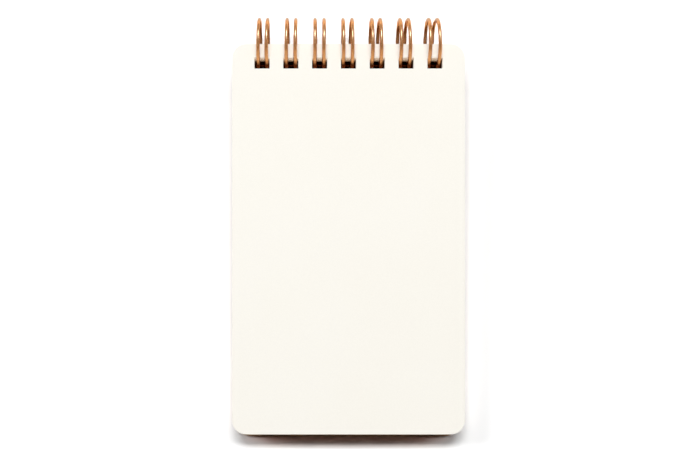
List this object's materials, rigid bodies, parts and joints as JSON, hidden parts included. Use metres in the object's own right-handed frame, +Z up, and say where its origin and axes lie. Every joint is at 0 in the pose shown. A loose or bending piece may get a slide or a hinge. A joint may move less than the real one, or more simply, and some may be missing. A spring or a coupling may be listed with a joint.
{
  "type": "memo pad",
  "caption": "Wire-bound memo pad lying on its back, with blank cream sheets, rounded corners and brown board covers folded round behind the sheets.",
  "frame": {"origin": "on the ground under the middle of the whole pad's bounding box", "axes": "+X along the binding, +Y from the sheets' foot to the binding, +Z up out of the blank page"},
  "size_m": [0.069, 0.1244, 0.0149],
  "materials": {
    "sheets": "matt uncoated cream paper",
    "board": "brown kraft board",
    "card": "brown kraft card",
    "wire": "polished copper-coloured coating on steel wire"
  },
  "bodies": {
    "sheets": {"page_block": "sheets", "binding_wire": "wire"},
    "back": {"back_cover": "board"},
    "front": {"front_cover": "card"}
  },
  "joints": [
    {"name": "back_cover_turn", "type": "hinge", "parent": "sheets", "child": "back", "pos_m": [0, 0.05477, 0.00745], "axis": [1, 0, 0], "range_deg": [0, 200]},
    {"name": "front_cover_turn", "type": "hinge", "parent": "back", "child": "front", "pos_m": [0, 0.05477, 0.00745], "axis": [1, 0, 0], "range_deg": [0, 200]}
  ]
}
